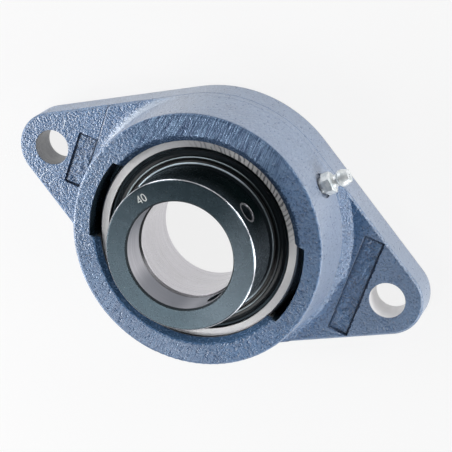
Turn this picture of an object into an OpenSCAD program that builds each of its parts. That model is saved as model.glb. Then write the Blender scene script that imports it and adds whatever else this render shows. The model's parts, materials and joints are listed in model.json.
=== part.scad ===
// Two-bolt flanged ball bearing unit with an eccentric locking collar.
// Millimetres. The mounting face lies on z = 0, the shaft runs along Z,
// and the two bolt holes lie on X.

/* [Shaft and rings] */
// Diameter of the shaft that the bearing takes
shaft_d = 40; // [36:0.5:44]
// Metal of the inner ring between the shaft and the ball track
inner_wall = 4; // [3.5:0.1:5]
// Metal of the outer ring outside the ball track
outer_wall = 4; // [3.5:0.1:6]
// Height of the shoulders beside the inner ball track
inner_shoulder = 2; // [1.5:0.1:2.4]
// Height of the shoulders beside the outer ball track
outer_shoulder = 2.2; // [1.5:0.1:2.4]
// How far the inner ring stands out behind the outer ring
inner_back = 1; // [0.6:0.1:3]
// Chamfer at both ends of the shaft bore
bore_chamfer = 0.8; // [0.3:0.1:1.2]

/* [Balls and cage] */
// Diameter of one ball
ball_d = 12; // [11:0.1:12.5]
// Number of balls
ball_count = 9; // [7:1:9]
// Thickness of the pressed cage strip
cage_t = 0.9; // [0.6:0.1:1.2]
// Width of the cage strip across the ball circle
cage_w = 5; // [4:0.1:5.4]
// Diameter of a cage rivet
rivet_d = 1.8; // [1.4:0.1:2.2]

/* [Seals] */
// Depth of each seal below the face of the outer ring
seal_recess = 2.6; // [2.4:0.1:4]
// Thickness of the steel frame of a seal
seal_frame_t = 0.6; // [0.4:0.1:0.8]
// Thickness of the rubber on a seal frame
seal_rubber_t = 0.9; // [0.7:0.1:1.1]
// Outer ring metal left between the seal and the rim of its face
rim_w = 3.3; // [2.8:0.1:3.8]
// How far the flinger reaches out over the seal
flinger_reach = 3.6; // [2.5:0.1:5]
// Thickness of the flinger
flinger_t = 0.8; // [0.5:0.1:1]

/* [Locking collar] */
// Sideways offset of the cam that locks the collar
cam_offset = 0.9; // [0.5:0.1:1.2]
// Mean metal of the cam around the shaft bore
cam_wall = 4.2; // [3.8:0.1:4.4]
// Length of the cam
cam_l = 4.8; // [4:0.1:6]
// Wall of the collar around the shaft
collar_wall = 8.4; // [8:0.1:11]
// Length of the collar's own grip on the shaft
collar_grip = 12.2; // [12:0.1:15]
// Chamfer on the rims of the collar
collar_chamfer = 0.7; // [0.3:0.1:1.2]
// Distance of the set screw and drift hole from the front of the collar
collar_hole_depth = 7.5; // [6.5:0.1:7.8]
// Direction of the set screw around the shaft
screw_angle = -35; // [-60:1:0]
// Thread diameter of the set screw
screw_d = 8; // [6:0.5:8]
// Length of the set screw
screw_l = 6; // [5:0.1:6.5]
// Width across the flats of the set screw's socket
screw_socket = 4; // [3:0.1:4.5]
// Direction of the drift hole around the shaft
drift_angle = 55; // [30:1:80]
// Diameter of the drift hole
drift_d = 6.6; // [5:0.1:7.5]
// Depth of the drift hole
drift_depth = 5; // [3:0.1:5.5]

/* [Housing] */
// Distance between the bolt holes
bolt_spacing = 144; // [138:0.5:160]
// Diameter of a bolt hole
bolt_hole_d = 14; // [10:0.5:15]
// Radius of the flange's ends around the bolt holes
ear_r = 14; // [12:0.5:18]
// Thickness of the flange
flange_t = 13; // [11:0.5:15]
// Bevel along the flange's front edge
flange_bevel = 0.8; // [0.4:0.1:1.5]
// How much the flange widens from its front down to the mounting face
flange_draft = 0.3; // [0.1:0.1:0.3]
// Height of the bearing centre above the mounting face
seat_z = 24.5; // [24:0.1:28]
// Height of the boss front above the bearing centre
boss_rise = 13.5; // [12:0.1:15]
// Wall of the boss at its front, outside the bearing seat
boss_wall = 8.9; // [7:0.1:12]
// How much the boss widens from its front down to the flange
boss_draft = 1.5; // [0.5:0.1:2]
// How far the flange stands out beyond the foot of the boss
flange_lip = 0.6; // [0.6:0.1:2.5]
// Radius of the fillet between the boss and the flange
boss_fillet = 4; // [2:0.5:6]
// Rounding of the boss's front edge
boss_round = 1.2; // [0.5:0.1:2]
// Chamfer around the mouth of the seat
mouth_chamfer = 2; // [1:0.1:2.5]
// Width of the two loading slots in the mouth
slot_w = 31; // [24:0.5:34]
// How far the loading slots reach outside the bearing seat
slot_reach = 2; // [1:0.1:4]
// Step between the bearing seat and the opening in the back
back_lip = 4; // [3:0.1:6]
// Width of the sunk panels in the flange
panel_w = 8; // [5:0.1:8.4]
// Depth of the sunk panels
panel_depth = 0.8; // [0.4:0.1:1.5]
// Distance of the sunk panels from the bolt holes
panel_inset = 13; // [12.6:0.1:13]
// Length of the panel beside the left bolt hole
short_panel_l = 21.4; // [12:0.1:28]
// Flange left between the long panel and the flange's edge
panel_margin = 1.4; // [1:0.1:6]

/* [Grease nipple] */
// Direction of the grease nipple around the shaft
nipple_angle = 45.5; // [40:0.5:52]
// Height of the nipple above the bearing centre
nipple_rise = -1; // [-2:0.1:2]
// Thread diameter of the nipple
nipple_thread_d = 6; // [5:0.5:6]
// Length of the nipple's thread
nipple_thread_l = 5.5; // [4:0.1:6]
// Width across the flats of the nipple's hexagon
nipple_af = 7.4; // [6.5:0.1:7.6]
// Height of the nipple's hexagon
nipple_hex_h = 3.5; // [3:0.1:5]
// Length of the nipple's head above the hexagon
nipple_head_l = 6.5; // [6:0.1:8]
// Diameter of the nipple's head
nipple_head_d = 6.5; // [5.5:0.1:7]
// Thread that shows between the spot face and the hexagon
nipple_stand = 1.4; // [0.3:0.1:1.5]
// Diameter of the spot face under the nipple
spot_d = 9.6; // [9:0.1:12]
// Depth of the spot face
spot_depth = 0.4; // [0.3:0.1:1.2]

/* [Clearances] */
// Gap between the outer ring and its seat in the housing
seat_gap = 0.03; // [0.02:0.01:0.06]
// Gap between a ball and each track
track_gap = 0.03; // [0.02:0.01:0.06]
// Gap between a ball and its cage pocket
pocket_gap = 0.2; // [0.15:0.05:0.3]
// Gap between the cage and a seal
cage_seal_gap = 0.3; // [0.25:0.05:0.5]
// Gap between the seal lip and the inner ring
lip_gap = 0.15; // [0.1:0.05:0.3]
// Gap between the seal and the flinger
flinger_gap = 0.3; // [0.25:0.05:0.5]
// Gap between the cam and its recess in the collar
cam_gap = 0.06; // [0.03:0.01:0.09]
// Gap between a screw thread and its hole
thread_gap = 0.05; // [0.03:0.01:0.08]
// Gap between pieces that are pressed or riveted together
press_gap = 0.02; // [0.01:0.01:0.04]
// Gap between the shaft and the bore of the collar
collar_gap = 0.3; // [0.1:0.05:0.4]

/* [Hidden] */
BALLS = [for (i = [1:ball_count]) str("ball_", i)];

// Rings and balls, from the shaft outwards
shaft_r = shaft_d / 2;
ball_r = ball_d / 2;
inner_track_r = shaft_r + inner_wall;
pitch_r = inner_track_r + ball_r;
outer_track_r = pitch_r + ball_r;
seat_r = outer_track_r + outer_wall;
inner_land_r = inner_track_r + inner_shoulder;
outer_land_r = outer_track_r - outer_shoulder;
track_r = 0.52 * ball_d;
ball_step = 360 / ball_count;

// Seals, from the bearing centre towards a face
pocket_r = ball_r + pocket_gap;
seal_z = pocket_r + cage_t + cage_seal_gap;
face_z = seal_z + seal_recess;
rubber_z = seal_z + seal_frame_t;
rubber_top_z = rubber_z + seal_rubber_t;
face_edge_r = sqrt(seat_r * seat_r - face_z * face_z);
seal_edge_r = face_edge_r - rim_w;
seal_groove = 0.5;
seal_bead = 0.35;
flinger_z = rubber_top_z + seal_bead + flinger_gap;
flinger_r = inner_land_r + flinger_reach;

// Inner ring and collar, from the bearing centre towards the front
shoulder_z = face_z + 0.9;
cam_undercut = 0.8;
cam_z = shoulder_z + cam_undercut;
cam_top_z = cam_z + cam_l;
cam_r = shaft_r + cam_wall;
collar_z = shoulder_z + 0.7;
collar_floor_z = cam_top_z + 1.2;
collar_top_z = collar_floor_z + collar_grip;
collar_bore_r = shaft_r + collar_gap;
collar_r = collar_bore_r + collar_wall;
collar_hole_z = collar_top_z - collar_hole_depth;
screw_r = screw_d / 2;
screw_sink = 0.4;
screw_tip_r = collar_r - screw_sink - screw_l;

// Housing
boss_r = seat_r + boss_wall;
boss_base_r = boss_r + boss_draft;
body_r = boss_base_r + flange_lip;
housing_h = seat_z + boss_rise;
flange_foot = 0.5;
boss_inset = 0.1;
bolt_x = bolt_spacing / 2;
grease_groove_d = 1;
grease_hole_r = 1.5;
ring_hole_r = 0.9;
ring_hole_z = (seal_z + sqrt(track_r * track_r - pow(track_r - outer_shoulder, 2))) / 2;
grease_groove_low = nipple_rise - grease_hole_r - 0.6;

// Nipple, along its own axis from the foot of its hexagon outwards
nipple_z = seat_z + nipple_rise;
boss_r_at_nipple = boss_r + boss_draft * (housing_h - nipple_z) / (housing_h - flange_t);
spot_r = boss_r_at_nipple - spot_depth;
nipple_foot_r = spot_r + nipple_stand;
nipple_shank_l = nipple_stand + nipple_thread_l;
nipple_l = nipple_hex_h + nipple_head_l;
nipple_mouth_r = 0.75;
nipple_mouth_l = 0.6;
nipple_chamber_r = 1.25;
nipple_ball_r = 1;
nipple_ball_s = nipple_l - nipple_mouth_l
    - sqrt(pow(nipple_ball_r + thread_gap, 2) - nipple_mouth_r * nipple_mouth_r);
spring_wire_r = 0.15;
spring_r = 0.85;
spring_turns = 5;
spring_low = nipple_hex_h + 0.1 + spring_wire_r;
spring_high = nipple_ball_s - sqrt(pow(nipple_ball_r, 2) - spring_r * spring_r) - 0.1 - spring_wire_r;

// The flange's straight sides touch the body circle and both ear circles
side_sin = (body_r - ear_r) / bolt_x;
side_cos = sqrt(1 - side_sin * side_sin);

// Half width of the flange at a distance x from the shaft, on its straight sides
function side_y(x) = (body_r - side_sin * x) / side_cos;

// Point on a circle of radius r around [x, 0] where the side touches it
function touch(x, r, sx, sy) = [sx * (x + r * side_sin), sy * r * side_cos];

// Turns local Z into the outward direction at an angle around the shaft
module outward(angle, z) {
    translate([0, 0, z])
        rotate([0, 0, angle])
            rotate([0, 90, 0])
                children();
}

module at_seat() {
    translate([0, 0, seat_z])
        children();
}

module around_balls() {
    for (i = [0:ball_count - 1])
        rotate([0, 0, i * ball_step])
            translate([pitch_r, 0, 0])
                children();
}

// Outline of the flange, grown outwards all round
module flange_outline(grow) {
    body = body_r + grow;
    ear = ear_r + grow;
    circle(r = body, $fn = 120);
    for (side = [-1, 1])
        translate([side * bolt_x, 0])
            circle(r = ear, $fn = 60);
    polygon([
        touch(0, body, 1, 1), touch(bolt_x, ear, 1, 1),
        touch(bolt_x, ear, 1, -1), touch(0, body, 1, -1),
        touch(0, body, -1, -1), touch(bolt_x, ear, -1, -1),
        touch(bolt_x, ear, -1, 1), touch(0, body, -1, 1)]);
}

// The flange, with drafted sides and a bevelled front edge
module flange_slab() {
    hull() {
        linear_extrude(flange_foot)
            flange_outline(0);
        linear_extrude(flange_t - flange_bevel)
            flange_outline(-flange_draft);
        linear_extrude(flange_t)
            flange_outline(-flange_draft - flange_bevel);
    }
}

// Half section of the boss, with its fillet onto the flange
module boss_section() {
    fillet_r = boss_base_r + boss_fillet;
    difference() {
        union() {
            square([fillet_r, flange_t]);
            polygon([
                [0, flange_t], [fillet_r, flange_t], [boss_base_r, flange_t + boss_fillet],
                [boss_r, housing_h - boss_round], [boss_r - boss_round, housing_h],
                [0, housing_h]]);
            translate([boss_r - boss_round, housing_h - boss_round])
                circle(r = boss_round, $fn = 48);
        }
        translate([fillet_r, flange_t + boss_fillet])
            circle(r = boss_fillet, $fn = 72);
    }
}

// Half section of the room for the bearing: seat, mouth, back opening and grease groove
module seat_section() {
    room_r = seat_r + seat_gap;
    intersection() {
        translate([0, seat_z])
            circle(r = room_r, $fn = 180);
        square([room_r, 2 * housing_h]);
    }
    translate([0, -1])
        square([seat_r - back_lip, seat_z]);
    polygon([
        [0, housing_h + 1], [seat_r + 1, housing_h + 1],
        [seat_r - mouth_chamfer - 1, housing_h - mouth_chamfer - 1],
        [0, housing_h - mouth_chamfer - 1]]);
    translate([0, seat_z + grease_groove_low])
        square([seat_r + grease_groove_d, ring_hole_z - grease_groove_low]);
}

module loading_slots() {
    intersection() {
        translate([0, 0, seat_z])
            cylinder(r = seat_r + slot_reach, h = boss_rise + 1, $fn = 180);
        translate([-body_r, -slot_w / 2, seat_z])
            cube([2 * body_r, slot_w, boss_rise + 1]);
    }
}

module panels() {
    x = bolt_x - panel_inset;
    long_l = 2 * (side_y(x + panel_w / 2) - panel_margin);
    translate([x - panel_w / 2, -long_l / 2, flange_t - panel_depth])
        cube([panel_w, long_l, panel_depth + 1]);
    translate([-x - panel_w / 2, -short_panel_l / 2, flange_t - panel_depth])
        cube([panel_w, short_panel_l, panel_depth + 1]);
}

module housing() {
    color("slategray")
        difference() {
            union() {
                flange_slab();
                intersection() {
                    linear_extrude(housing_h)
                        flange_outline(-flange_draft - boss_inset);
                    rotate_extrude($fn = 180)
                        boss_section();
                }
            }
            rotate_extrude($fn = 180)
                seat_section();
            loading_slots();
            panels();
            for (side = [-1, 1])
                translate([side * bolt_x, 0, -1])
                    cylinder(d = bolt_hole_d, h = flange_t + 2, $fn = 72);
            outward(nipple_angle, nipple_z) {
                translate([0, 0, spot_r])
                    cylinder(d = spot_d, h = spot_depth + body_r, $fn = 72);
                translate([0, 0, seat_r + grease_groove_d / 2])
                    cylinder(r = grease_hole_r, h = boss_wall - grease_groove_d, $fn = 48);
                translate([0, 0, spot_r - nipple_thread_l - 0.5])
                    cylinder(d = nipple_thread_d, h = nipple_thread_l + 1, $fn = 48);
            }
        }
}

module grease_nipple() {
    color("lightsteelblue")
        outward(nipple_angle, nipple_z)
            translate([0, 0, nipple_foot_r])
                difference() {
                    union() {
                        translate([0, 0, -nipple_shank_l])
                            cylinder(r = nipple_thread_d / 2 - thread_gap, h = nipple_shank_l + 0.5, $fn = 48);
                        intersection() {
                            rotate([0, 0, 30])
                                cylinder(d = nipple_af / cos(30), h = nipple_hex_h, $fn = 6);
                            rotate_extrude($fn = 72)
                                nipple_hex_section();
                        }
                        rotate_extrude($fn = 72)
                            nipple_head_section();
                    }
                    translate([0, 0, -nipple_shank_l - 1])
                        cylinder(r = nipple_mouth_r, h = nipple_shank_l + nipple_l + 2, $fn = 36);
                    translate([0, 0, nipple_hex_h])
                        cylinder(r = nipple_chamber_r, h = nipple_head_l - nipple_mouth_l, $fn = 36);
                }
}

// The turned top chamfer of the hexagon
module nipple_hex_section() {
    corner_r = nipple_af / cos(30) / 2;
    drop = 0.5;
    polygon([
        [0, 0], [corner_r + 2 * drop, 0], [corner_r + 2 * drop, nipple_hex_h - 2 * drop],
        [corner_r - 2 * drop, nipple_hex_h], [0, nipple_hex_h]]);
}

module nipple_head_section() {
    head_r = nipple_head_d / 2;
    neck_r = 0.7 * head_r;
    tip_r = 0.74 * head_r;
    polygon([
        [0, nipple_hex_h - 0.5], [neck_r + 0.6, nipple_hex_h - 0.5],
        [neck_r, nipple_hex_h + 0.14 * nipple_head_l], [neck_r, nipple_hex_h + 0.3 * nipple_head_l],
        [head_r, nipple_hex_h + 0.46 * nipple_head_l], [head_r, nipple_hex_h + 0.66 * nipple_head_l],
        [tip_r, nipple_l], [0, nipple_l]]);
}

module nipple_ball() {
    color("silver")
        outward(nipple_angle, nipple_z)
            translate([0, 0, nipple_foot_r + nipple_ball_s])
                sphere(r = nipple_ball_r, $fn = 48);
}

module nipple_spring() {
    color("gray")
        outward(nipple_angle, nipple_z)
            translate([0, 0, nipple_foot_r])
                coil(spring_r, spring_wire_r, spring_low, spring_high, spring_turns);
}

// A round wire wound on a helix, as rings of points joined by quads
module coil(coil_r, wire_r, low, high, turns) {
    sides = 6;
    steps = turns * 12;
    rings = [for (i = [0:steps], k = [0:sides - 1])
        let (turn = 360 * turns * i / steps, a = 360 * k / sides, r = coil_r + wire_r * cos(a))
        [r * cos(turn), r * sin(turn), low + (high - low) * i / steps + wire_r * sin(a)]];
    skin = [for (i = [0:steps - 1], k = [0:sides - 1])
        let (n = (k + 1) % sides)
        [i * sides + k, (i + 1) * sides + k, (i + 1) * sides + n, i * sides + n]];
    first = [for (k = [0:sides - 1]) k];
    last = [for (k = [sides - 1:-1:0]) steps * sides + k];
    polyhedron(points = rings, faces = concat(skin, [first, last]), convexity = 4);
}

// Outer ring: a slice of a ball outside, a track and two seal seats inside
module outer_ring_section() {
    face_chamfer = 0.5;
    corner = face_edge_r - face_chamfer + face_z;
    difference() {
        intersection() {
            circle(r = seat_r, $fn = 180);
            polygon([
                [outer_land_r, -seal_z], [outer_land_r, seal_z],
                [seal_edge_r + seal_groove, seal_z], [seal_edge_r + seal_groove, rubber_top_z - 0.4],
                [seal_edge_r, rubber_top_z], [seal_edge_r, face_z],
                [corner - face_z, face_z], [corner + 1, -1],
                [corner + 1, 1], [corner - face_z, -face_z],
                [seal_edge_r, -face_z], [seal_edge_r, -rubber_top_z],
                [seal_edge_r + seal_groove, 0.4 - rubber_top_z], [seal_edge_r + seal_groove, -seal_z]]);
        }
        translate([outer_track_r + track_gap - track_r, 0])
            circle(r = track_r, $fn = 120);
    }
}

module outer_ring() {
    color("gainsboro")
        at_seat()
            difference() {
                rotate_extrude($fn = 180)
                    outer_ring_section();
                for (a = [0, 180])
                    outward(nipple_angle + a, ring_hole_z)
                        translate([0, 0, outer_land_r - 1])
                            cylinder(r = ring_hole_r, h = outer_wall + outer_shoulder + 2, $fn = 36);
            }
}

module inner_ring_section() {
    edge = 0.6;
    difference() {
        polygon([
            [0, -face_z - inner_back], [inner_land_r - edge, -face_z - inner_back],
            [inner_land_r, edge - face_z - inner_back], [inner_land_r, shoulder_z - edge],
            [inner_land_r - edge, shoulder_z], [cam_r - cam_offset - 0.4, shoulder_z],
            [cam_r - cam_offset - 0.4, cam_z + 1], [0, cam_z + 1]]);
        translate([inner_track_r - track_gap + track_r, 0])
            circle(r = track_r, $fn = 120);
    }
}

module inner_ring() {
    low = -face_z - inner_back;
    color("gainsboro")
        at_seat()
            difference() {
                union() {
                    rotate_extrude($fn = 180)
                        inner_ring_section();
                    translate([cam_offset, 0, cam_z])
                        rotate_extrude($fn = 180)
                            polygon([
                                [0, 0], [cam_r, 0], [cam_r, cam_l - 0.4],
                                [cam_r - 0.4, cam_l], [0, cam_l]]);
                }
                rotate_extrude($fn = 180)
                    polygon([
                        [0, low - 1], [shaft_r + bore_chamfer + 1, low - 1],
                        [shaft_r, low + bore_chamfer], [shaft_r, cam_top_z - bore_chamfer],
                        [shaft_r + bore_chamfer + 1, cam_top_z + 1], [0, cam_top_z + 1]]);
            }
}

module ball(index) {
    color("silver")
        at_seat()
            rotate([0, 0, (index - 1) * ball_step])
                translate([pitch_r, 0, 0])
                    sphere(r = ball_r, $fn = 72);
}

// One pressed half of the ribbon cage, with a round pocket over each ball
module cage_half() {
    difference() {
        intersection() {
            union() {
                ring(pitch_r - cage_w / 2, pitch_r + cage_w / 2, 0, cage_t);
                around_balls()
                    sphere(r = pocket_r + cage_t, $fn = 72);
            }
            ring(pitch_r - cage_w / 2, pitch_r + cage_w / 2, 0, 2 * ball_r);
        }
        around_balls()
            sphere(r = pocket_r, $fn = 72);
        rotate([0, 0, ball_step / 2])
            around_balls()
                cylinder(r = rivet_d / 2 + press_gap, h = 4 * cage_t, center = true, $fn = 36);
    }
}

module ring(inner, outer, low, high) {
    rotate_extrude($fn = 180)
        translate([inner, low])
            square([outer - inner, high - low]);
}

module cage_front() {
    color("darkgray")
        at_seat()
            cage_half();
}

module cage_rear() {
    color("darkgray")
        at_seat()
            mirror([0, 0, 1])
                cage_half();
}

module cage_rivets() {
    head_r = 0.85 * rivet_d;
    head_h = 0.4 * rivet_d;
    color("dimgray")
        at_seat()
            rotate([0, 0, ball_step / 2])
                around_balls() {
                    cylinder(d = rivet_d, h = 2 * cage_t + 1.2 * head_h, center = true, $fn = 36);
                    for (side = [0, 1])
                        mirror([0, 0, side])
                            translate([0, 0, cage_t])
                                cylinder(r1 = head_r, r2 = rivet_d / 2, h = head_h, $fn = 36);
                }
}

// Steel frame of the front seal: a flat washer with a turned-up rim
module seal_frame() {
    outer = seal_edge_r + seal_groove - press_gap;
    rim_r = seal_edge_r - 2 * seal_frame_t;
    rotate_extrude($fn = 180)
        polygon([
            [inner_land_r + 1.4, seal_z], [outer, seal_z], [outer, seal_z + seal_frame_t],
            [rim_r + seal_frame_t, seal_z + seal_frame_t], [rim_r + seal_frame_t, rubber_top_z],
            [rim_r, rubber_top_z], [rim_r, rubber_z], [inner_land_r + 1.4, rubber_z]]);
}

// Rubber of the front seal, with two raised beads and a lip on the inner ring
module seal_rubber() {
    outer = seal_edge_r - 2 * seal_frame_t - press_gap;
    lip_r = inner_land_r + lip_gap;
    bead_w = 0.7;
    first_bead = flinger_r + 1.6;
    rotate_extrude($fn = 180)
        polygon([
            [lip_r + 0.4, seal_z + 0.1], [inner_land_r + 1.4 - press_gap, seal_z + 0.1],
            [inner_land_r + 1.4 - press_gap, rubber_z], [outer, rubber_z],
            [outer, rubber_top_z], [outer - bead_w / 2, rubber_top_z + seal_bead],
            [outer - bead_w, rubber_top_z], [outer - 2 * bead_w, rubber_top_z - seal_bead],
            [first_bead + bead_w, rubber_top_z - seal_bead], [first_bead + bead_w / 2, rubber_top_z + seal_bead],
            [first_bead - bead_w / 2, rubber_top_z + seal_bead], [first_bead - bead_w, rubber_top_z - seal_bead],
            [flinger_r + 0.3, rubber_top_z - seal_bead], [flinger_r - 0.3, rubber_top_z],
            [lip_r + 0.9, rubber_top_z], [lip_r, rubber_z]]);
}

module seal_frame_front() {
    color("dimgray")
        at_seat()
            seal_frame();
}

module seal_frame_rear() {
    color("dimgray")
        at_seat()
            mirror([0, 0, 1])
                seal_frame();
}

module seal_rubber_front() {
    color([0.12, 0.12, 0.13])
        at_seat()
            seal_rubber();
}

module seal_rubber_rear() {
    color([0.12, 0.12, 0.13])
        at_seat()
            mirror([0, 0, 1])
                seal_rubber();
}

// Thin disc on the inner ring that throws dirt off the front seal
module flinger() {
    lip = flinger_t / 2;
    color([0.2, 0.22, 0.24])
        at_seat()
            rotate_extrude($fn = 180)
                union() {
                    translate([inner_land_r + press_gap, flinger_z])
                        square([flinger_reach - lip - press_gap, flinger_t]);
                    translate([flinger_r - lip, flinger_z + lip])
                        circle(r = lip, $fn = 36);
                }
}

module locking_collar() {
    color([0.16, 0.18, 0.2])
        at_seat()
            difference() {
                rotate_extrude($fn = 180)
                    polygon([
                        [collar_bore_r, collar_z], [collar_r - collar_chamfer, collar_z],
                        [collar_r, collar_z + collar_chamfer], [collar_r, collar_top_z - collar_chamfer],
                        [collar_r - collar_chamfer, collar_top_z],
                        [collar_bore_r + collar_chamfer, collar_top_z],
                        [collar_bore_r, collar_top_z - collar_chamfer]]);
                translate([cam_offset, 0, collar_z - 1])
                    cylinder(r = cam_r + cam_gap, h = collar_floor_z - collar_z + 1, $fn = 180);
                outward(screw_angle, collar_hole_z)
                    translate([0, 0, shaft_r - 2])
                        cylinder(r = screw_r, h = collar_wall + 6, $fn = 48);
                outward(drift_angle, collar_hole_z)
                    translate([0, 0, collar_r - drift_depth])
                        cylinder(d = drift_d, h = drift_depth + 2, $fn = 48);
            }
}

// Set screw with a cupped point towards the shaft and a hexagon socket outside
module set_screw() {
    r = screw_r - thread_gap;
    cup_r = 0.55 * screw_r;
    color([0.14, 0.15, 0.16])
        at_seat()
            outward(screw_angle, collar_hole_z)
                translate([0, 0, screw_tip_r])
                    difference() {
                        rotate_extrude($fn = 72)
                            polygon([
                                [0, 0.4 * cup_r], [cup_r, 0], [r, r - cup_r],
                                [r, screw_l - 0.4], [r - 0.4, screw_l], [0, screw_l]]);
                        translate([0, 0, 0.45 * screw_l])
                            cylinder(d = screw_socket / cos(30), h = screw_l, $fn = 6);
                    }
}

housing();
grease_nipple();
nipple_ball();
nipple_spring();
outer_ring();
inner_ring();
for (i = [1:ball_count]) ball(i);
cage_front();
cage_rear();
cage_rivets();
seal_frame_front();
seal_rubber_front();
seal_frame_rear();
seal_rubber_rear();
flinger();
locking_collar();
set_screw();
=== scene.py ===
"""Looks of the mounted bearing: camera, light, floor, materials and fine detail.

Metres, in the frame of the CAD model. The mounting face lies on z = 0, the shaft runs along Z
and the two bolt holes lie on X.
"""

import json
import math

import bmesh
import bpy
import numpy as np
from mathutils import Matrix, Vector


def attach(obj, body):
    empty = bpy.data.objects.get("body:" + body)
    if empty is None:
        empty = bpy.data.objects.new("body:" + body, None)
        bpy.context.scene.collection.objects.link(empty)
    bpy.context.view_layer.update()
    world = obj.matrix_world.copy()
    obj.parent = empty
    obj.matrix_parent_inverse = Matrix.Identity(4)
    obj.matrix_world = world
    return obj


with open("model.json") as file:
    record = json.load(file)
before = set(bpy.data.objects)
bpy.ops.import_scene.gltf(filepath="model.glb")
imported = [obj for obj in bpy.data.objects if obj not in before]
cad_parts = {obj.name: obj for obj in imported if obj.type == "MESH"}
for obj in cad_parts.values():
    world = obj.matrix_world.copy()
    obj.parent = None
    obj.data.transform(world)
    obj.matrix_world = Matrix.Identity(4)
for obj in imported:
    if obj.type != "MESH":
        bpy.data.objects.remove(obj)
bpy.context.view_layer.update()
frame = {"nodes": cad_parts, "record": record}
NODES = frame["nodes"]
MM = 0.001

# Sizes of the solids, in millimetres, that masks and detail pieces follow
SEAT_Z = 24.5
MOUTH_R = 40.0
FRONT_Z = 38.0
BOSS_R = 48.9
FLANGE_Z = 13.0
BOLT_X = 72.0
BOLT_R = 7.0
PANEL_X = 59.0
PANEL_W = 8.0
PANEL_FLOOR = 12.2
SHORT_PANEL_L = 21.4
LONG_PANEL_L = 40.62
FACE_Z = 34.5
FACE_IN_R = 35.0
RUBBER_Z = 33.4
BEAD_R = 31.4
FLINGER_Z = 34.05
FLINGER_R = 29.6
SHAFT_R = 20.0
RING_TOP = 41.0
COLLAR_TOP = 54.4
COLLAR_FLOOR = 42.2
COLLAR_R = 28.7
COLLAR_BORE_R = 20.3
DRIFT_Z = 46.9
DRIFT_ANGLE = math.radians(55)
DRIFT_HOLE_R = 3.3


# ---------------------------------------------------------------- camera


def add_camera():
    """Camera solved from ellipses fitted to the rings and bolt holes of the photo."""
    right = Vector((0.89536235, 0.31751415, -0.31226757))
    up = Vector((-0.40871157, 0.86434243, -0.29303075))
    back = Vector((0.1768647, 0.38999606, 0.90367137))
    place = (0.10640276, 0.22844142, 0.53588035)
    turn = Matrix((right, up, back)).transposed().to_4x4()
    data = bpy.data.cameras.new("camera")
    data.sensor_width = 36
    data.lens = 120.326
    data.shift_x = -0.003516
    data.shift_y = -0.012564
    data.clip_start = 0.01
    data.clip_end = 20
    camera = bpy.data.objects.new("camera", data)
    camera.matrix_world = Matrix.Translation(place) @ turn
    bpy.context.scene.collection.objects.link(camera)
    bpy.context.scene.camera = camera


# ---------------------------------------------------------------- materials


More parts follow.
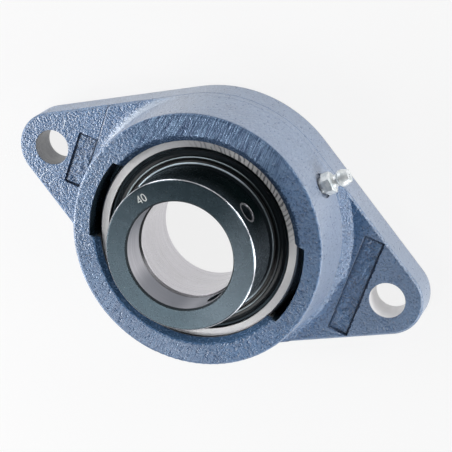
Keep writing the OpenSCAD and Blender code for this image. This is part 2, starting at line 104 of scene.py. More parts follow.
class Net:
    """One procedural material, built node by node in the object's own coordinates.

    x, y, z and r, the distance from the shaft's axis, are in millimetres. turn is the
    direction from the axis in radians.
    """

    def __init__(self, name):
        self.material = bpy.data.materials.new(name)
        self.material.use_nodes = True
        self.tree = self.material.node_tree
        self.shader = self.tree.nodes["Principled BSDF"]
        self.place = self.add("ShaderNodeTexCoord").outputs["Object"]
        split = self.add("ShaderNodeSeparateXYZ", {0: self.place})
        self.x, self.y, self.z = (self.times(s, 1000.0) for s in split.outputs)
        self.r = self.length(self.x, self.y)
        self.turn = self.math("ARCTAN2", self.y, self.x)

    def put(self, socket, value):
        if isinstance(value, bpy.types.NodeSocket):
            self.tree.links.new(value, socket)
        elif isinstance(value, (tuple, list)) and len(value) == 3 and socket.type == "RGBA":
            socket.default_value = (*value, 1)
        else:
            socket.default_value = value

    def add(self, kind, inputs=(), **settings):
        node = self.tree.nodes.new(kind)
        for name, value in settings.items():
            setattr(node, name, value)
        for name, value in dict(inputs).items():
            self.put(node.inputs[name], value)
        return node

    # Numbers

    def math(self, operation, *values, clamp=False):
        node = self.add("ShaderNodeMath", dict(enumerate(values)), operation=operation)
        node.use_clamp = clamp
        return node.outputs[0]

    def chain(self, operation, values):
        total = values[0]
        for value in values[1:]:
            total = self.math(operation, total, value)
        return total

    def plus(self, *values):
        return self.chain("ADD", values)

    def times(self, *values):
        return self.chain("MULTIPLY", values)

    def most(self, *values):
        return self.chain("MAXIMUM", values)

    def minus(self, value, amount):
        return self.math("SUBTRACT", value, amount)

    def absolute(self, value):
        return self.math("ABSOLUTE", value)

    def length(self, x, y):
        return self.math("POWER", self.plus(self.times(x, x), self.times(y, y)), 0.5)

    def blend(self, share, first, second):
        """Number between first and second."""
        node = self.add("ShaderNodeMix", {0: share, 2: first, 3: second}, data_type="FLOAT")
        return node.outputs[0]

    # Weights

    def span(self, value, low, high, start=0.0, end=1.0):
        """Goes from start to end as value goes from low to high, and stays there outside."""
        node = self.add("ShaderNodeMapRange", {
            0: value, 1: low, 2: high, 3: start, 4: end}, interpolation_type="SMOOTHSTEP")
        return node.outputs[0]

    def fall(self, value, low, high):
        """Goes from 1 to 0 as value goes from low to high."""
        return self.span(value, low, high, 1.0, 0.0)

    def band(self, value, low, high, soft):
        """1 where value lies between low and high, 0 outside."""
        return self.times(self.span(value, low - soft, low + soft),
                          self.fall(value, high - soft, high + soft))

    def sector(self, degrees, outer, inner, start=0.0, end=1.0):
        """Weight round the shaft: end toward a direction, start away from it.

        outer and inner are cosines of the angle from that direction.
        """
        away = self.math("COSINE", self.minus(self.turn, math.radians(degrees)))
        return self.span(away, outer, inner, start, end)

    def corner(self, reach):
        """0 in inner corners, 1 in the open."""
        node = self.add("ShaderNodeAmbientOcclusion", {"Distance": reach * MM}, samples=6)
        return node.outputs["AO"]

    # Distances in millimetres

    def around(self, centre_x, centre_y=0.0):
        """Distance from a line along Z."""
        return self.length(self.minus(self.x, centre_x), self.minus(self.y, centre_y))

    def beside(self, angle, height):
        """Distance from a line that leaves the shaft's axis, and place along that line."""
        c, s = math.cos(angle), math.sin(angle)
        along = self.plus(self.times(self.x, c), self.times(self.y, s))
        side = self.plus(self.times(self.y, c), self.times(self.x, -s))
        return self.length(side, self.minus(self.z, height)), along

    def segment(self, start, end):
        """Distance in plan from the line between two points."""
        (ax, ay), (bx, by) = start, end
        square = (bx - ax) ** 2 + (by - ay) ** 2
        px, py = self.plus(self.x, -ax), self.plus(self.y, -ay)
        along = self.plus(self.times(px, bx - ax), self.times(py, by - ay))
        share = self.math("DIVIDE", along, square, clamp=True)
        return self.length(self.minus(px, self.times(share, bx - ax)),
                           self.minus(py, self.times(share, by - ay)))

    # Textures

    def join(self, x, y, z):
        return self.add("ShaderNodeCombineXYZ", {0: x, 1: y, 2: z}).outputs[0]

    def noise(self, size, detail=2.0, rough=0.5, vector=None, distortion=0.0):
        """Noise from 0 to 1 whose features are about size millimetres across."""
        return self.add("ShaderNodeTexNoise", {
            "Vector": self.place if vector is None else vector, "Scale": 1 / (size * MM),
            "Detail": detail, "Roughness": rough, "Distortion": distortion}).outputs[0]

    def turned(self, outward, upward, round_shaft, detail=3.0, rough=0.6):
        """Noise drawn out round the shaft, as a lathe or a grinding wheel leaves it."""
        vector = self.join(self.times(self.r, outward), self.times(self.z, upward),
                           self.times(self.turn, round_shaft))
        return self.noise(1.0, detail, rough, vector)

    def cells(self, size):
        """Distance from scattered points, 0 at each of them."""
        return self.add("ShaderNodeTexVoronoi", {
            "Vector": self.place, "Scale": 1 / (size * MM)}).outputs[0]

    def mix(self, share, first, second):
        """Colour between first and second."""
        node = self.add("ShaderNodeMix", {0: share, 6: first, 7: second}, data_type="RGBA")
        return node.outputs[2]

    def layer(self, colour, tone, *weights):
        """Colour with a tone laid over it where all the weights are high."""
        return self.mix(self.times(*weights), colour, tone)

    # Shading

    def bump(self, height, depth, below=None):
        """Relief of depth millimetres where height runs from 0 to 1."""
        inputs = {"Height": height, "Distance": depth * MM, "Strength": 1.0}
        if below is not None:
            inputs["Normal"] = below
        return self.add("ShaderNodeBump", inputs).outputs[0]

    def soft_edge(self, radius):
        """Normal with the edges rounded to a radius in millimetres."""
        return self.add("ShaderNodeBevel", {"Radius": radius * MM}, samples=4).outputs[0]

    def finish(self, colour, metallic, roughness, normal, **constants):
        self.put(self.shader.inputs["Base Color"], colour)
        self.put(self.shader.inputs["Metallic"], metallic)
        self.put(self.shader.inputs["Roughness"], roughness)
        self.put(self.shader.inputs["Normal"], normal)
        for name, value in constants.items():
            self.shader.inputs[name.replace("_", " ")].default_value = value
        return self.material


def panel_edge(net):
    """Distance in plan from the edge of the nearest sunk panel, negative inside it."""
    half = net.span(net.x, -1.0, 1.0, SHORT_PANEL_L / 2, LONG_PANEL_L / 2)
    across = net.absolute(net.plus(net.absolute(net.x), -PANEL_X))
    return net.most(net.plus(across, -PANEL_W / 2), net.minus(net.absolute(net.y), half))


def panel_shade(net):
    """Weight of the painted shadow along the panels' rims, weaker on the long panel's side toward
    the boss.
    """
    return net.most(net.fall(net.x, -1.0, 1.0),
                    net.span(net.x, PANEL_X - 3.0, PANEL_X + 1.0, 0.25, 1.0))


def flange_marks(net, lumps):
    """Weights of the painted shade line along the crease beside the short panel, and of the
    scratches near its bolt hole.
    """
    top = net.span(net.z, FLANGE_Z - 0.4, FLANGE_Z - 0.2)
    crease = net.times(net.fall(net.segment((-54.9, 10.7), (-55.3, 27.5)), 0.12, 0.40), top,
                       net.fall(net.z, FLANGE_Z + 0.6, FLANGE_Z + 0.9))
    scratch = net.most(net.fall(net.segment((-70.2, 15.8), (-69.8, 9.0)), 0.10, 0.28),
                       net.fall(net.segment((-73.0, -14.8), (-71.0, -9.4)), 0.08, 0.24),
                       net.fall(net.segment((-68.3, -14.8), (-66.8, -11.2)), 0.06, 0.22))
    return crease, net.times(scratch, top, net.span(lumps, 0.35, 0.5))


def bare_iron(net, lumps, patches):
    """Machined surfaces of the housing: their weight, the paler hole's, lines and colour."""
    dark, light, stain = (0.34, 0.34, 0.34), (0.66, 0.66, 0.67), (0.20, 0.205, 0.215)
    left_hole, right_hole = (0.16, 0.165, 0.175), (0.88, 0.87, 0.88)
    jagged = net.times(net.minus(lumps, 0.5), 0.5)
    holes = net.most(*(net.fall(net.plus(net.around(x), jagged), BOLT_R + 0.1, BOLT_R + 0.2)
                       for x in (BOLT_X, -BOLT_X)))
    holes = net.times(holes, net.fall(net.z, FLANGE_Z - 0.5, FLANGE_Z - 0.3))
    seat = net.times(net.fall(net.r, MOUTH_R + 0.1, MOUTH_R + 0.3),
                     net.fall(net.plus(net.z, jagged), FRONT_Z - 2.5, FRONT_Z - 2.2))
    mounting = net.fall(net.z, 0.05, 0.12)
    bare = net.most(holes, seat, mounting)
    paler_hole = net.times(holes, net.span(net.x, -1.0, 1.0))

    rings = net.noise(1.0, 3.0, 0.6, net.join(net.times(net.z, 0.004),
                                              net.times(net.turn, 0.0006), 0.0))
    mill = net.noise(1.0, 3.0, 0.6, net.join(net.times(net.around(30.0, -190.0), 0.0035),
                                             0.0, 0.0))
    lines = net.blend(mounting, rings, mill)
    metal = net.mix(net.span(lines, 0.3, 0.7), dark, light)
    stained = net.blend(mounting, net.times(net.span(lumps, 0.42, 0.62), 0.45),
                        net.times(net.span(patches, 0.45, 0.75), 0.15))
    metal = net.layer(metal, stain, stained)
    # The hole toward -X is darker; the hole toward +X is paler and less metallic
    metal = net.layer(metal, left_hole, holes, net.span(net.x, -1.0, 1.0, 0.82, 0.0))
    metal = net.layer(metal, right_hole, paler_hole, 0.80)
    return bare, paler_hole, lines, metal


def paint_material():
    """Blue enamel over rough cast iron, with the machined surfaces left bare."""
    blue, light_blue = (0.030, 0.092, 0.205), (0.046, 0.120, 0.248)
    hollow_shade, peak_highlight, pit_shade = (0.012, 0.040, 0.100), (0.26, 0.32, 0.43), (0.022, 0.050, 0.110)
    dust, speck_shade, fine_speck = (0.31, 0.34, 0.40), (0.055, 0.090, 0.160), (0.110, 0.145, 0.210)
    painted_highlight, low_front, right_flange_light = (0.50, 0.55, 0.61), (0.010, 0.046, 0.118), (0.13, 0.18, 0.26)
    dark_streak, light_streak = (0.006, 0.034, 0.100), (0.125, 0.210, 0.335)
    chip, crevice_shade = (0.52, 0.60, 0.70), (0.010, 0.028, 0.070)
    low_mouth, high_mouth = (0.032, 0.090, 0.185), (0.015, 0.042, 0.095)
    crease_shade, scratch_tone = (0.016, 0.040, 0.095), (0.50, 0.58, 0.68)
    slot_shade = (0.050, 0.092, 0.124)

    net = Net("paint")
    normal = net.add("ShaderNodeTexCoord").outputs["Normal"]
    facing = net.add("ShaderNodeSeparateXYZ", {0: normal})
    wall = net.fall(net.absolute(facing.outputs[2]), 0.35, 0.8)

    # Cast grain under the paint, drawn out upright and calmer on the walls
    upright = net.join(net.times(net.x, 0.00125), net.times(net.y, 0.00125),
                       net.times(net.z, 0.00060))
    grain = net.blend(wall, net.noise(0.80, 2.0, 0.55), net.noise(1.0, 2.0, 0.65, upright))
    lumps = net.noise(2.4)
    patches = net.noise(13.0, 3.0, 0.55)
    plain = net.span(wall, 0.0, 1.0, 1.0, 0.1)
    nibs = net.times(net.fall(net.cells(1.5), 0.0, 0.26), plain)
    pits = net.times(net.span(net.noise(1.3, 1.0), 0.60, 0.74), plain)

    # Scraped streaks across the front of the boss, strongest in one sector
    lane = net.plus(net.x, net.times(net.y, -0.10), net.times(net.x, net.y, 0.0035))
    streaks = net.noise(1.0, 3.0, 0.7, net.join(net.times(lane, 0.00185),
                                                net.times(net.y, 0.00009), 0.0), 0.10)
    upper, lower = net.sector(101, 0.62, 0.93), net.sector(-105, 0.55, 0.95)
    front = net.times(net.span(net.z, FRONT_Z - 0.6, FRONT_Z - 0.2),
                      net.span(net.r, MOUTH_R - 1.0, MOUTH_R),
                      net.fall(net.r, BOSS_R + 0.7, BOSS_R + 1.1))
    streaky = net.times(front, net.plus(upper, net.times(lower, 0.4)))

    # Colour: painted shade in hollows and pits, painted highlight on peaks, dust and painted sheen
    # on walls
    colour = net.mix(net.span(patches, 0.3, 0.7), blue, light_blue)
    colour = net.layer(colour, hollow_shade, net.fall(grain, 0.37, 0.51),
                       net.plus(0.70, net.times(wall, -0.50)))
    colour = net.layer(colour, peak_highlight, net.span(grain, 0.54, 0.68),
                       net.plus(0.22, net.times(wall, 0.32)))
    colour = net.layer(colour, pit_shade, pits, 0.22)
    # Pale dust and painted sheen on the walls, weighted by the way each wall faces
    dust_and_sheen = net.plus(net.sector(65, -0.6, 0.2, 0.20, 0.46), net.sector(22, 0.75, 0.97, 0.0, 0.20),
                     net.sector(138, 0.80, 0.98, 0.0, 0.20))
    colour = net.layer(colour, dust, wall, dust_and_sheen)
    # Painted shade as dark specks in the walls' hollows
    colour = net.layer(colour, speck_shade, wall, net.fall(grain, 0.34, 0.60), 0.24)
    colour = net.layer(colour, fine_speck, wall,
                       net.fall(net.noise(0.42, 3.0, 0.6), 0.40, 0.60), 0.36)

    # Painted highlight on the boss's rim and on the fillet at its foot, on the side toward -X
    rim = net.times(net.span(net.r, BOSS_R, BOSS_R + 0.5),
                    net.span(net.z, FRONT_Z - 1.6, FRONT_Z - 0.8))
    fillet = net.times(net.band(net.z, FLANGE_Z + 0.6, FLANGE_Z + 4.5, 0.5),
                       net.fall(net.r, 58.0, 60.0))
    colour = net.layer(colour, painted_highlight, net.most(rim, fillet), net.sector(190, 0.3, 0.8), 0.55)
    colour = net.layer(colour, low_front, front, net.sector(-96, 0.70, 0.96), 0.52)
    # Painted light on the flange's ear toward +X
    colour = net.layer(colour, right_flange_light, net.span(net.x, 50.0, 64.0),
                       net.fall(net.z, FLANGE_Z + 0.4, FLANGE_Z + 1.0), 0.30)
    colour = net.layer(colour, net.mix(net.span(streaks, 0.42, 0.60), dark_streak, light_streak),
                       streaky, 0.92)
    colour = net.layer(colour, chip, net.fall(net.cells(2.1), 0.0, 0.11), plain,
                       net.span(streaky, 0.0, 0.6, 0.5, 0.0))

    # Painted shade in the mouth chamfer, deepest toward +Y, in inner corners and along the panels'
    # rims
    ragged = net.plus(net.times(net.noise(1.6, 3.0, 0.6), 1.8), net.times(net.noise(0.7), 1.6),
                      -1.7)
    chamfer = net.times(net.span(net.z, FRONT_Z - 2.6, FRONT_Z - 2.2),
                        net.fall(net.plus(net.r, ragged), MOUTH_R + 0.5, MOUTH_R + 0.8),
                        net.span(grain, 0.48, 0.66, 1.0, 0.45))
    colour = net.layer(colour, net.mix(net.span(net.y, -26.0, 8.0), low_mouth, high_mouth),
                       chamfer, 0.95)
    foot = net.times(wall, net.span(net.z, 17.0, 19.0, 0.85, 0.0))
    corner = net.times(net.fall(net.corner(2.2), 0.30, 0.85), net.minus(1.0, foot))
    edge = net.times(net.fall(net.plus(panel_edge(net), net.times(ragged, 0.55)), 0.10, 0.30),
                     panel_shade(net),
                     net.band(net.z, PANEL_FLOOR - 0.2, FLANGE_Z + 0.3, 0.05))
    colour = net.layer(colour, crevice_shade, net.most(corner, edge), 0.85)

    # A painted shade line along the crease, and pale scratches near the bolt hole
    crease, scratch = flange_marks(net, lumps)
    colour = net.layer(colour, crease_shade, crease, 0.8)
    colour = net.layer(colour, scratch_tone, scratch, 0.75)

    # Painted shade in the loading slots
    slots = net.times(net.span(net.r, MOUTH_R + 0.1, MOUTH_R + 0.3),
                      net.fall(net.r, MOUTH_R + 2.2, MOUTH_R + 2.4),
                      net.band(net.z, SEAT_Z - 0.3, FRONT_Z - 0.6, 0.3))
    colour = net.layer(colour, slot_shade, slots, 0.85)
    bare, paler_hole, lines, metal = bare_iron(net, lumps, patches)
    colour = net.mix(bare, colour, metal)

    rough = net.blend(net.span(grain, 0.3, 0.7), 0.27, 0.40)
    rough = net.blend(net.most(edge, chamfer), rough, 0.75)
    rough = net.blend(bare, rough, net.span(lines, 0.3, 0.7, 0.46, 0.32))

    smooth = net.span(net.most(streaky, net.times(front, lower, 0.8)), 0.0, 1.0, 1.0, 0.10)
    cast = net.plus(net.times(grain, smooth, net.plus(0.38, net.times(wall, -0.04))),
                    net.times(lumps, smooth, 0.16), net.times(nibs, smooth, 0.10),
                    net.times(pits, -0.12), net.times(streaks, streaky, 0.26),
                    net.times(crease, -0.14), net.times(scratch, 0.10))
    relief = net.plus(net.times(cast, net.minus(1.0, bare)),
                      net.times(net.plus(lines, lumps), bare, 0.014))

    # Dark places are partly metallic, because the coat's plain reflection would grey them
    dull = net.most(chamfer, edge, corner, slots, net.times(streaky, 0.55))
    metallic = net.most(net.times(bare, net.plus(0.9, net.times(paler_hole, -0.45))),
                        net.times(dull, 0.75))
    return net.finish(colour, metallic, rough, net.bump(relief, 1.0, net.soft_edge(0.4)),
                      IOR=1.85)


def panel_material():
    """Paint on the rough cast floors of the sunk panels, with painted shade in hollows and along
    the rims and painted highlight on raised parts.
    """
    blue, light_blue = (0.020, 0.066, 0.155), (0.036, 0.100, 0.215)
    hollow_shade, peak_highlight, crevice_shade = (0.008, 0.026, 0.064), (0.060, 0.135, 0.255), (0.006, 0.020, 0.050)
    net = Net("panel_paint")
    grain = net.noise(0.72, 2.0, 0.55)
    lumps = net.noise(2.0)
    rim = net.times(net.span(net.plus(panel_edge(net), net.times(lumps, 0.7)), -0.50, -0.05),
                    panel_shade(net))
    colour = net.mix(net.span(lumps, 0.3, 0.7), blue, light_blue)
    # Painted shade in the hollows and along the rims, painted highlight on the raised parts
    colour = net.layer(colour, hollow_shade, net.fall(grain, 0.37, 0.52), 0.75)
    colour = net.layer(colour, peak_highlight, net.span(net.z, PANEL_FLOOR + 0.20, PANEL_FLOOR + 0.55), 0.5)
    colour = net.layer(colour, crevice_shade, rim, 0.9)
    rough = net.blend(rim, net.span(grain, 0.3, 0.7, 0.28, 0.42), 0.75)
    relief = net.plus(net.times(grain, 0.60), net.times(lumps, 0.25))
    return net.finish(colour, 0.0, rough, net.bump(relief, 1.0), IOR=1.75)


def ground_material():
    """Ground bearing steel, with the hatch on the outer ring's face and painted shade on the cam
    end.
    """
    steel, light_steel, cloudy = (0.57, 0.56, 0.59), (0.76, 0.745, 0.78), (0.60, 0.59, 0.60)
    face_dark, face_light = (0.59, 0.585, 0.595), (0.75, 0.745, 0.755)
    ring_top_shade, ring_side_light, scored = (0.22, 0.23, 0.25), (0.90, 0.89, 0.89), (0.05, 0.055, 0.07)
    gap_shade = (0.018, 0.020, 0.022)

    net = Net("ground_steel")
    # Grinding runs round the shaft, so the lines follow the radius and the height
    lines = net.turned(0.006, 0.004, 0.0006, 4.0, 0.65)
    colour = net.mix(net.span(lines, 0.3, 0.7), steel, light_steel)
    colour = net.layer(colour, cloudy, net.span(net.noise(7.0, 3.0), 0.45, 0.75), 0.35)

    # The outer ring's face is matt, with slanted hatch in one sector, painted shade toward +Y and
    # painted light toward +X+Y
    face = net.times(net.span(net.r, FACE_IN_R - 0.1, FACE_IN_R + 0.1),
                     net.span(net.z, FACE_Z - 0.2, FACE_Z - 0.05),
                     net.fall(net.z, FACE_Z + 0.3, FACE_Z + 0.4))
    slant = net.plus(net.times(net.turn, 118.0), net.times(net.r, -2.0),
                     net.times(net.noise(3.0, 1.0), 8.0))
    hatch = net.times(net.span(net.math("SINE", slant), 0.1, 0.8),
                      net.span(net.noise(2.5), 0.25, 0.5), face, net.sector(70, 0.62, 0.93))
    colour = net.layer(colour, net.mix(net.noise(0.9, 3.0, 0.6), face_dark, face_light), face)
    colour = net.layer(colour, ring_top_shade, face, net.sector(102, 0.60, 0.95), 0.62)
    colour = net.layer(colour, ring_side_light, face, net.sector(45, 0.60, 0.85), 0.8)
    colour = net.layer(colour, scored, hatch, 0.72)

    # Painted shade on the cam end, rough and barely metallic, for the dark gap under the collar;
    # in the bore it runs deeper at the upper side and is weaker toward -Y
    start = net.blend(net.span(net.r, SHAFT_R + 0.02, SHAFT_R + 0.12),
                      net.span(net.y, -10.0, 6.0, RING_TOP - 0.7, RING_TOP - 1.5),
                      RING_TOP - 0.8)
    upper = net.span(net.y, -17.0, -9.0)
    dark = net.times(net.span(net.minus(net.z, start), -0.05, 0.05),
                     net.span(upper, 0.0, 1.0, 0.55, 1.0))
    colour = net.layer(colour, gap_shade, dark)
    rough = net.plus(net.span(lines, 0.3, 0.7, 0.24, 0.36), net.times(face, 0.16))
    metallic = net.plus(net.blend(dark, 0.92, 0.1), net.times(face, -0.68))
    return net.finish(colour, metallic, net.blend(dark, rough, 0.6),
                      net.bump(net.plus(lines, net.times(hatch, -2.0)), 0.006))


def oxide_material():
    """Black oxide on the locking collar, with turned steel in the bore and along its edges, and
    painted shade and light on its outside and front face.
    """
    black, light_black, lined = (0.042, 0.060, 0.072), (0.052, 0.071, 0.085), (0.075, 0.095, 0.108)
    od_shade, od_sheen = (0.004, 0.010, 0.011), (0.15, 0.18, 0.21)
    face_top_shade, face_right_light, face_low_shade = (0.014, 0.024, 0.030), (0.095, 0.120, 0.140), (0.020, 0.030, 0.036)
    fleck_tone, dust = (0.16, 0.18, 0.19), (0.50, 0.50, 0.48)
    steel_dark, steel_light = (0.54, 0.535, 0.57), (0.70, 0.69, 0.73)
    steel_shade, mouth_tone = (0.19, 0.20, 0.23), (0.030, 0.037, 0.042)
    mirror_tint = (0.25, 0.28, 0.30, 1)

    net = Net("black_oxide")
    lines = net.turned(0.005, 0.004, 0.0008)
    cloud = net.noise(3.4, 4.0, 0.6)
    fleck = net.span(net.noise(0.8, 2.0, 0.6), 0.66, 0.78)
    outside = net.span(net.r, COLLAR_R - 0.4, COLLAR_R - 0.2)
    inside = net.minus(1.0, outside)
    colour = net.mix(net.span(cloud, 0.3, 0.75), black, light_black)
    colour = net.layer(colour, lined, net.span(lines, 0.4, 0.75), 0.18)
    # On the outside, painted shade toward +Y, more so lower down, and a painted sheen toward +X
    colour = net.layer(colour, od_shade, outside, net.sector(65.89, 0.30, 0.85),
                       net.span(net.z, 46.0, 54.2, 0.95, 0.45))
    colour = net.layer(colour, od_sheen, outside, net.sector(-11.46, 0.45, 0.95), 0.7)
    # Painted shade on the front face toward +Y and -Y, and painted light toward +X
    colour = net.layer(colour, face_top_shade, inside, net.span(net.y, 6.0, 24.0), 0.75)
    colour = net.layer(colour, face_right_light, inside, net.span(net.x, 6.0, 22.0), 0.6)
    colour = net.layer(colour, face_low_shade, inside, net.fall(net.y, -24.0, -10.0), 0.3)
    colour = net.layer(colour, fleck_tone, fleck, 0.12)
    colour = net.layer(colour, dust, net.fall(net.cells(1.9), 0.0, 0.07), 0.55)

    # Turned steel shows in the bore and round the drift hole, and along the outer edge, where it
    # is also a painted highlight
    bore = net.times(net.fall(net.r, COLLAR_BORE_R + 0.04, COLLAR_BORE_R + 0.08),
                     net.span(net.z, COLLAR_FLOOR - 0.1, COLLAR_FLOOR + 0.1))
    uneven = net.times(net.minus(net.noise(2.2, 3.0, 0.6), 0.5), 0.3)
    rim = net.times(net.span(net.plus(net.r, uneven), COLLAR_R - 0.45, COLLAR_R - 0.3),
                    net.span(net.plus(net.z, uneven), COLLAR_TOP - 0.62, COLLAR_TOP - 0.5))
    away, along = net.beside(DRIFT_ANGLE, DRIFT_Z)
    drift_rim = net.times(net.fall(net.plus(away, uneven), DRIFT_HOLE_R + 0.55,
                                   DRIFT_HOLE_R + 0.70),
                          net.span(along, COLLAR_R - 0.7, COLLAR_R - 0.6))
    bright = net.most(bore, net.times(rim, 0.75), net.times(drift_rim, 0.8))
    steel = net.mix(net.span(lines, 0.3, 0.7), steel_dark, steel_light)
    steel = net.layer(steel, steel_shade, net.sector(-98, 0.76, 0.97), bore, 0.72)
    colour = net.layer(colour, steel, bright)
    mouth = net.times(net.fall(net.r, COLLAR_BORE_R + 0.62, COLLAR_BORE_R + 0.7),
                      net.span(net.z, COLLAR_TOP - 0.75, COLLAR_TOP - 0.65))
    colour = net.layer(colour, mouth_tone, mouth)
    rough = net.blend(bright, net.span(cloud, 0.3, 0.7, 0.24, 0.29), 0.30)
    relief = net.plus(net.times(lines, 0.7), net.times(fleck, 0.2))
    return net.finish(colour, net.blend(bright, 0.75, 0.92), net.blend(mouth, rough, 0.8),
                      net.bump(relief, 0.004, net.soft_edge(0.25)), Specular_Tint=mirror_tint)


def plain_metal(name, dark, light, rough, cloud_size=4.0):
    """Metal with faint lines round the shaft and cloudy patches."""
    net = Net(name)
    lines = net.turned(0.0045, 0.0045, 0.0008)
    cloud = net.noise(cloud_size, 3.0, 0.55)
    share = net.plus(net.times(lines, 0.5), net.times(cloud, 0.5))
    colour = net.mix(net.span(share, 0.35, 0.65), dark, light)
    return net.finish(colour, 0.95, net.span(cloud, 0.3, 0.7, rough - 0.06, rough + 0.08),
                      net.bump(lines, 0.006))


def zinc_material():
    """Bright zinc of the grease nipple, with a greenish cast here and there."""
    dark, light, green = (0.54, 0.58, 0.60), (0.76, 0.78, 0.78), (0.56, 0.61, 0.59)
    net = Net("zinc")
    cloud = net.noise(1.8, 3.0, 0.55)
    fine = net.noise(0.35, 2.0, 0.6)
    colour = net.mix(net.span(cloud, 0.35, 0.65), dark, light)
    colour = net.layer(colour, green, net.span(net.noise(3.0), 0.5, 0.7), 0.3)
    relief = net.plus(fine, net.times(cloud, 0.5))
    return net.finish(colour, 0.70, net.span(fine, 0.3, 0.7, 0.38, 0.50),
                      net.bump(relief, 0.008, net.soft_edge(0.15)))


def rubber_material():
    """Black seal rubber, with a painted highlight along its bead and painted shade in the groove
    inside it.
    """
    black, light_black = (0.0040, 0.0065, 0.0085), (0.010, 0.015, 0.019)
    groove_shade, bead_highlight, dust = (0.0015, 0.0020, 0.0025), (0.50, 0.60, 0.64), (0.04, 0.045, 0.05)
    net = Net("rubber")
    lines = net.turned(0.002, 0.0, 0.0004, 2.0, 0.5)
    fine = net.noise(0.5, 2.0, 0.6)
    colour = net.mix(net.span(lines, 0.35, 0.7), black, light_black)
    # Painted shade in the groove inside the bead
    colour = net.mix(net.band(net.r, BEAD_R - 1.7, BEAD_R - 0.4, 0.1), colour, groove_shade)
    # Painted highlight along the bead's crest, weaker toward +X
    crest = net.times(net.band(net.r, BEAD_R - 0.18, BEAD_R + 0.15, 0.10),
                      net.span(net.z, RUBBER_Z + 0.1, RUBBER_Z + 0.2))
    far = net.sector(25.78, 0.45, 0.92)
    colour = net.layer(colour, bead_highlight, crest, net.span(far, 0.0, 1.0, 0.9, 0.1))
    colour = net.layer(colour, dust, net.span(fine, 0.66, 0.80), 0.2)
    relief = net.plus(lines, net.times(fine, 0.3))
    return net.finish(colour, 0.0, net.span(fine, 0.3, 0.7, 0.30, 0.40), net.bump(relief, 0.008))


def flinger_material():
    """Dark steel of the flinger, with a painted highlight along its rim."""
    dark, light, bright = (0.012, 0.017, 0.022), (0.026, 0.034, 0.042), (0.66, 0.78, 0.86)
    net = Net("flinger_steel")
    lines = net.turned(0.005, 0.0, 0.0006)
    far = net.sector(25.78, 0.45, 0.92)
    # Painted highlight along the rim, weaker toward +X
    painted_highlight = net.times(net.span(net.plus(net.r, net.times(net.noise(2.0), 0.2)),
                              FLINGER_R - 0.65, FLINGER_R - 0.15),
                     net.span(net.z, FLINGER_Z + 0.25, FLINGER_Z + 0.55),
                     net.span(far, 0.0, 1.0, 0.95, 0.15))
    colour = net.mix(net.span(lines, 0.3, 0.7), dark, light)
    colour = net.layer(colour, bright, painted_highlight)
    return net.finish(colour, net.blend(painted_highlight, 0.6, 0.45), net.blend(painted_highlight, 0.36, 0.28),
                      net.bump(lines, 0.01))


def stroke_material():
    """Bare metal in the strokes of the stamped number."""
    net = Net("bare_stroke")
    fine = net.noise(0.3, 2.0, 0.6)
    colour = net.mix(net.span(fine, 0.3, 0.7), (0.58, 0.59, 0.58), (0.82, 0.82, 0.80))
    return net.finish(colour, 0.35, net.span(fine, 0.3, 0.7, 0.35, 0.55), net.bump(fine, 0.02))


MATERIALS = {
    "paint": paint_material(),
    "ground_steel": ground_material(),
    "black_oxide": oxide_material(),
    "zinc": zinc_material(),
    "rubber": rubber_material(),
    "ball_steel": plain_metal("ball_steel", (0.66, 0.66, 0.67), (0.78, 0.78, 0.79), 0.14),
    "spring_steel": plain_metal("spring_steel", (0.30, 0.31, 0.33), (0.46, 0.47, 0.49), 0.34, 1.2),
    "pressed_steel": plain_metal("pressed_steel", (0.44, 0.43, 0.42), (0.60, 0.59, 0.57), 0.38),
    "seal_steel": plain_metal("seal_steel", (0.008, 0.012, 0.015), (0.022, 0.030, 0.036), 0.34),
    "flinger": flinger_material(),
    "panel_paint": panel_material(),
    "bare_stroke": stroke_material(),
}


def dress_nodes():
    slots = {s["node"]: s["material_slot"] for s in frame["record"]["subparts"]}
    for name, node in NODES.items():
        material = MATERIALS["flinger" if name == "flinger" else slots[name]]
        node.data.materials.clear()
        node.data.materials.append(material)


# ---------------------------------------------------------------- detail pieces


def new_piece(name, mesh, body, material):
    piece = bpy.data.objects.new(name, mesh)
    bpy.context.scene.collection.objects.link(piece)
    mesh.materials.clear()
    mesh.materials.append(material)
    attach(piece, body)
    return piece


def value_noise(x, y, size, seed):
    """Smooth noise from 0 to 1 at points in millimetres."""
    table = np.random.default_rng(seed).random((256, 256))
    u, v = x / size + 50, y / size + 50
    i, j = np.floor(u).astype(int), np.floor(v).astype(int)
    fu, fv = u - i, v - j
    fu, fv = fu * fu * (3 - 2 * fu), fv * fv * (3 - 2 * fv)
    low = table[i % 256, j % 256] * (1 - fu) + table[(i + 1) % 256, j % 256] * fu
    high = table[i % 256, (j + 1) % 256] * (1 - fu) + table[(i + 1) % 256, (j + 1) % 256] * fu
    return low * (1 - fv) + high * fv


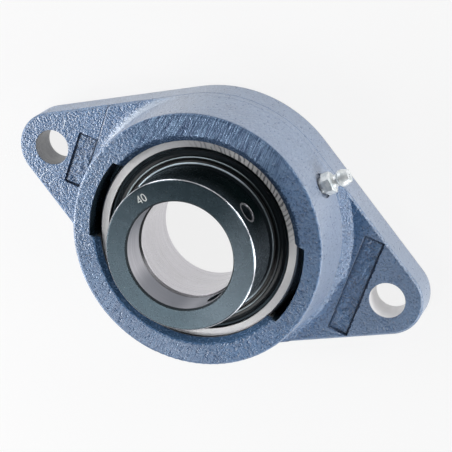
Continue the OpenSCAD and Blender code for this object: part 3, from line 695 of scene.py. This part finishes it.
def panel_relief(name, side, seed):
    """Rough cast floor of a sunk panel, level with the solid's floor along its walls."""
    inset = 0.02
    step = 0.33
    coarse, coarse_size = 0.34, 2.2
    fine, fine_size = 0.22, 0.9
    knob, knob_rise = 0.30, 0.10
    wall_reach = 0.9
    corners = [v.co / MM for v in NODES["housing"].data.vertices
               if abs(v.co.z / MM - PANEL_FLOOR) < 0.01
               and abs(side * v.co.x / MM - PANEL_X) < PANEL_W]
    xs, ys = [c.x for c in corners], [c.y for c in corners]
    x0, x1, y0, y1 = min(xs) + inset, max(xs) - inset, min(ys) + inset, max(ys) - inset
    nx, ny = round((x1 - x0) / step), round((y1 - y0) / step)
    x, y = np.meshgrid(np.linspace(x0, x1, nx + 1), np.linspace(y0, y1, ny + 1))
    wall = np.minimum.reduce([x - x0, x1 - x, y - y0, y1 - y])
    rough = (coarse * value_noise(x, y, coarse_size, seed)
             + fine * value_noise(x, y, fine_size, seed + 1))
    rough = np.where(rough > knob, rough + knob_rise, rough)
    rough *= np.clip(wall / wall_reach, 0.0, 1.0)
    z = PANEL_FLOOR + 0.02 + rough
    points = np.stack([x, y, z], axis=-1).reshape(-1, 3) * MM
    faces = [(a, a + 1, a + nx + 2, a + nx + 1)
             for row in range(ny) for a in range(row * (nx + 1), row * (nx + 1) + nx)]
    mesh = bpy.data.meshes.new(name)
    mesh.from_pydata(points.tolist(), [], faces)
    mesh.shade_smooth()
    new_piece(name, mesh, "housing", MATERIALS["panel_paint"])


def stroke(build, points, width, low, high):
    """Bar with mitred corners that follows points in plan."""
    closed = points[0] == points[-1]
    points = [Vector(p) for p in (points[:-1] if closed else points)]
    count = len(points)
    rows = []
    for k, point in enumerate(points):
        before = points[k - 1] if closed or k else point
        after = points[(k + 1) % count] if closed or k < count - 1 else point
        first = (point - before).normalized() if point != before else (after - point).normalized()
        second = (after - point).normalized() if after != point else first
        along = (first + second).normalized()
        across = Vector((-along.y, along.x)) * (width / 2 / max(0.4, along.dot(first)))
        rows.append([build.verts.new((*(point + across * s), z))
                     for s, z in ((-1, low), (-0.8, high), (0.8, high), (1, low))])
    for k in range(count if closed else count - 1):
        a, b = rows[k], rows[(k + 1) % count]
        for m in range(3):
            build.faces.new((a[m], b[m], b[m + 1], a[m + 1]))
    if not closed:
        build.faces.new(rows[0])
        build.faces.new(rows[-1][::-1])


def stamped_number():
    """A plain number stamped in the collar's face, bare in its strokes."""
    low, high = COLLAR_TOP - 0.01, COLLAR_TOP + 0.004
    width = 0.30
    height = 2.9
    four = [(-0.45, 0.0), (-0.45, height), (-1.75, 0.95), (-0.1, 0.95)]
    nought = [(1.15 + 0.68 * math.cos(math.radians(a)),
               height / 2 + 1.42 * math.sin(math.radians(a))) for a in range(0, 361, 15)]
    nought[-1] = nought[0]
    build = bmesh.new()
    stroke(build, four, width, low, high)
    stroke(build, nought, width, low, high)

    radius, direction = 24.6, math.radians(144.8)
    middle = Vector((radius * math.cos(direction), radius * math.sin(direction), 0.0))
    along = Vector((0.576, 0.817, 0.0))
    across = Vector((-0.817, 0.576, 0.0))
    for vert in build.verts:
        flat = middle + along * vert.co.x + across * (vert.co.y - height / 2)
        vert.co = Vector((flat.x, flat.y, vert.co.z)) * MM
    bmesh.ops.recalc_face_normals(build, faces=build.faces)
    mesh = bpy.data.meshes.new("collar_number")
    build.to_mesh(mesh)
    build.free()
    new_piece("collar_number", mesh, "locking_collar", MATERIALS["bare_stroke"])


# ---------------------------------------------------------------- studio


def add_floor():
    """White ground that keeps a faint shadow, and shows white to the camera and in metal."""
    half = 3.0
    drop = 0.00002
    glow_share = 0.92
    mesh = bpy.data.meshes.new("floor")
    mesh.from_pydata([(-half, -half, 0), (half, -half, 0), (half, half, 0), (-half, half, 0)], [],
                     [(0, 1, 2, 3)])
    floor = bpy.data.objects.new("floor", mesh)
    floor.location.z = -drop
    bpy.context.scene.collection.objects.link(floor)
    material = bpy.data.materials.new("floor")
    material.use_nodes = True
    tree = material.node_tree
    tree.nodes.clear()
    out = tree.nodes.new("ShaderNodeOutputMaterial")
    mixer = tree.nodes.new("ShaderNodeMixShader")
    diffuse = tree.nodes.new("ShaderNodeBsdfDiffuse")
    glow = tree.nodes.new("ShaderNodeEmission")
    path = tree.nodes.new("ShaderNodeLightPath")
    seen = tree.nodes.new("ShaderNodeMath")
    seen.operation = "MAXIMUM"
    share = tree.nodes.new("ShaderNodeMath")
    share.operation = "MULTIPLY"
    share.inputs[1].default_value = glow_share
    diffuse.inputs["Color"].default_value = (0.94, 0.94, 0.95, 1)
    glow.inputs["Color"].default_value = (0.92, 0.92, 0.92, 1)
    glow.inputs["Strength"].default_value = 1.0
    link = tree.links.new
    link(path.outputs["Is Camera Ray"], seen.inputs[0])
    link(path.outputs["Is Glossy Ray"], seen.inputs[1])
    link(seen.outputs[0], share.inputs[0])
    link(share.outputs[0], mixer.inputs[0])
    link(diffuse.outputs[0], mixer.inputs[1])
    link(glow.outputs[0], mixer.inputs[2])
    link(mixer.outputs[0], out.inputs["Surface"])
    mesh.materials.append(material)


def add_world():
    """Pale walls all round the table, darker overhead, and white to the camera."""
    low_level, high_level = 0.12, 0.04
    world = bpy.data.worlds.new("studio")
    world.use_nodes = True
    tree = world.node_tree
    background = tree.nodes["Background"]
    background.inputs["Color"].default_value = (0.97, 0.985, 1.0, 1)
    path = tree.nodes.new("ShaderNodeLightPath")
    place = tree.nodes.new("ShaderNodeTexCoord")
    split = tree.nodes.new("ShaderNodeSeparateXYZ")
    height = tree.nodes.new("ShaderNodeMapRange")
    height.interpolation_type = "SMOOTHSTEP"
    height.inputs["From Min"].default_value = 0.35
    height.inputs["From Max"].default_value = 0.90
    height.inputs["To Min"].default_value = low_level
    height.inputs["To Max"].default_value = high_level
    level = tree.nodes.new("ShaderNodeMapRange")
    level.inputs["To Max"].default_value = 1.0
    link = tree.links.new
    link(place.outputs["Generated"], split.inputs[0])
    link(split.outputs["Z"], height.inputs["Value"])
    link(height.outputs[0], level.inputs["To Min"])
    link(path.outputs["Is Camera Ray"], level.inputs["Value"])
    link(level.outputs[0], background.inputs["Strength"])
    bpy.context.scene.world = world


# Azimuth and elevation in degrees, distance and side in metres, watts
LAMPS = [(55, 15, 1.0, 0.45, 5.795), (10, 15, 1.0, 0.45, 6.555), (-35, 15, 1.0, 0.45, 4.37),
         (-80, 15, 1.0, 0.45, 1.52), (-125, 15, 1.0, 0.45, 3.99), (-170, 15, 1.0, 0.45, 3.515),
         (145, 15, 1.0, 0.45, 2.945), (100, 15, 1.0, 0.45, 0.855), (145, 42, 1.0, 0.45, 0.95),
         (-152, 22, 0.45, 0.2, 1.9), (-107, 54, 1.0, 0.26, 1.9)]
LAMP_AIM = Vector((0.0, 0.0, 0.02))


def add_lamps():
    """Square lamps that stand round the object and face it."""
    for number, (azimuth, elevation, distance, side, power) in enumerate(LAMPS):
        a, e = math.radians(azimuth), math.radians(elevation)
        away = Vector((math.cos(e) * math.cos(a), math.cos(e) * math.sin(a), math.sin(e)))
        data = bpy.data.lights.new(f"lamp_{number}", "AREA")
        data.shape = "SQUARE"
        data.size = side
        data.energy = power
        lamp = bpy.data.objects.new(f"lamp_{number}", data)
        lamp.location = LAMP_AIM + away * distance
        lamp.rotation_euler = (-away).to_track_quat("-Z", "Y").to_euler()
        bpy.context.scene.collection.objects.link(lamp)


add_camera()
add_floor()
add_world()
add_lamps()
dress_nodes()
panel_relief("panel_relief_left", -1, 11)
panel_relief("panel_relief_right", 1, 23)
stamped_number()

view = bpy.context.scene.view_settings
view.view_transform = "Standard"
